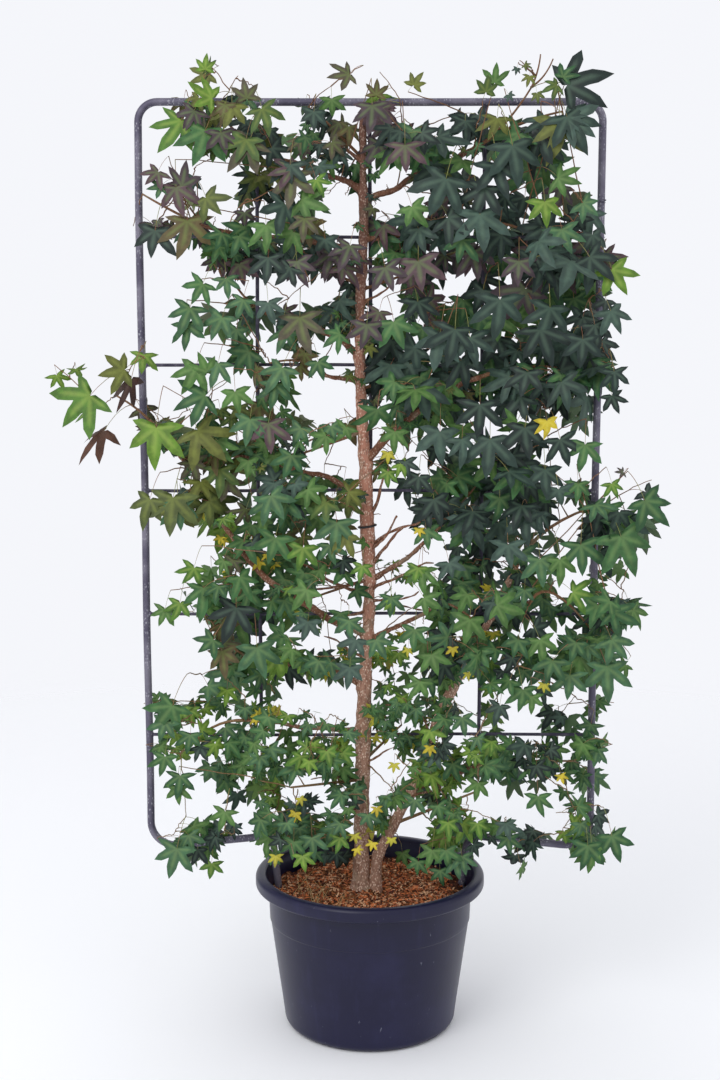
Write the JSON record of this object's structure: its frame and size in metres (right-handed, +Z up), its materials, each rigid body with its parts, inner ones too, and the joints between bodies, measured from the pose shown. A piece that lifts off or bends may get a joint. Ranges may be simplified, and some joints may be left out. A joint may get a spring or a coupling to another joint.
{
  "type": "potted espalier sweetgum tree",
  "caption": "Sweetgum trained flat on a tubular steel trellis in a round dark nursery pot, with green, olive and bronze autumn leaves.",
  "frame": {"origin": "middle of the pot's flat underside", "axes": "+Z up along the trunk; +X to the right across the trellis, seen from the front; +Y to the back, through the thin depth of the trellis"},
  "size_m": [1.4693, 0.562, 2.3368],
  "materials": {
    "pot": "moulded nursery plastic, blue-black, lightly scuffed and dusty",
    "mulch": "loose bark and wood chips, orange brown",
    "bark": "thin brown bark with pale specks and shallow cracks",
    "frame_steel": "weathered grey steel tube and rod with pale specks",
    "leaf_dark": "dark blue-green leaf, satin",
    "leaf_mid": "mid green leaf, satin",
    "leaf_fresh": "fresh yellow-green leaf, satin",
    "leaf_olive": "olive leaf turning yellow, satin",
    "leaf_bronze": "purple-bronze autumn leaf, satin"
  },
  "bodies": {
    "root": {"pot": "pot", "mulch": "mulch", "frame_top": "frame_steel", "frame_upright_left": "frame_steel", "frame_foot_left": "frame_steel", "frame_upright_right": "frame_steel", "frame_foot_right": "frame_steel", "rod_level_1": "frame_steel", "rod_level_2": "frame_steel", "rod_level_3": "frame_steel", "rod_level_4": "frame_steel", "rod_level_5": "frame_steel", "rod_upright_left": "frame_steel", "rod_upright_centre": "frame_steel", "rod_upright_right": "frame_steel", "trunk": "bark", "second_stem": "bark", "bough_left_1": "bark", "bough_left_2": "bark", "bough_left_3": "bark", "bough_left_4": "bark", "bough_left_5": "bark", "bough_left_6": "bark", "bough_left_6_upper": "bark", "bough_left_7": "bark", "bough_left_8": "bark", "bough_right_1": "bark", "bough_right_2": "bark", "bough_right_3": "bark", "bough_right_4": "bark", "bough_right_5": "bark", "second_stem_bough_1": "bark", "second_stem_bough_2": "bark", "foliage_top_left": "leaf_olive", "foliage_top_inner_left": "leaf_mid", "foliage_upper_far_left": "leaf_bronze", "foliage_upper_left": "leaf_bronze", "foliage_upper_inner_left": "leaf_dark", "foliage_shoulder_left": "leaf_mid", "foliage_far_left": "leaf_fresh", "foliage_middle_left": "leaf_olive", "foliage_middle_inner_left": "leaf_mid", "foliage_lower_left": "leaf_dark", "foliage_lower_inner_left": "leaf_dark", "foliage_base_left": "leaf_mid", "foliage_base_inner_left": "leaf_olive", "foliage_top_right": "leaf_dark", "foliage_top_inner_right": "leaf_mid", "foliage_upper_inner_right": "leaf_bronze", "foliage_upper_right": "leaf_dark", "foliage_middle_inner_right": "leaf_dark", "foliage_middle_upper_right": "leaf_dark", "foliage_centre_right": "leaf_dark", "foliage_far_right": "leaf_mid", "foliage_lower_inner_right": "leaf_dark", "foliage_lower_right": "leaf_dark", "foliage_stem_right": "leaf_olive", "foliage_base_inner_right": "leaf_mid", "foliage_base_right": "leaf_mid"}
  },
  "joints": []
}
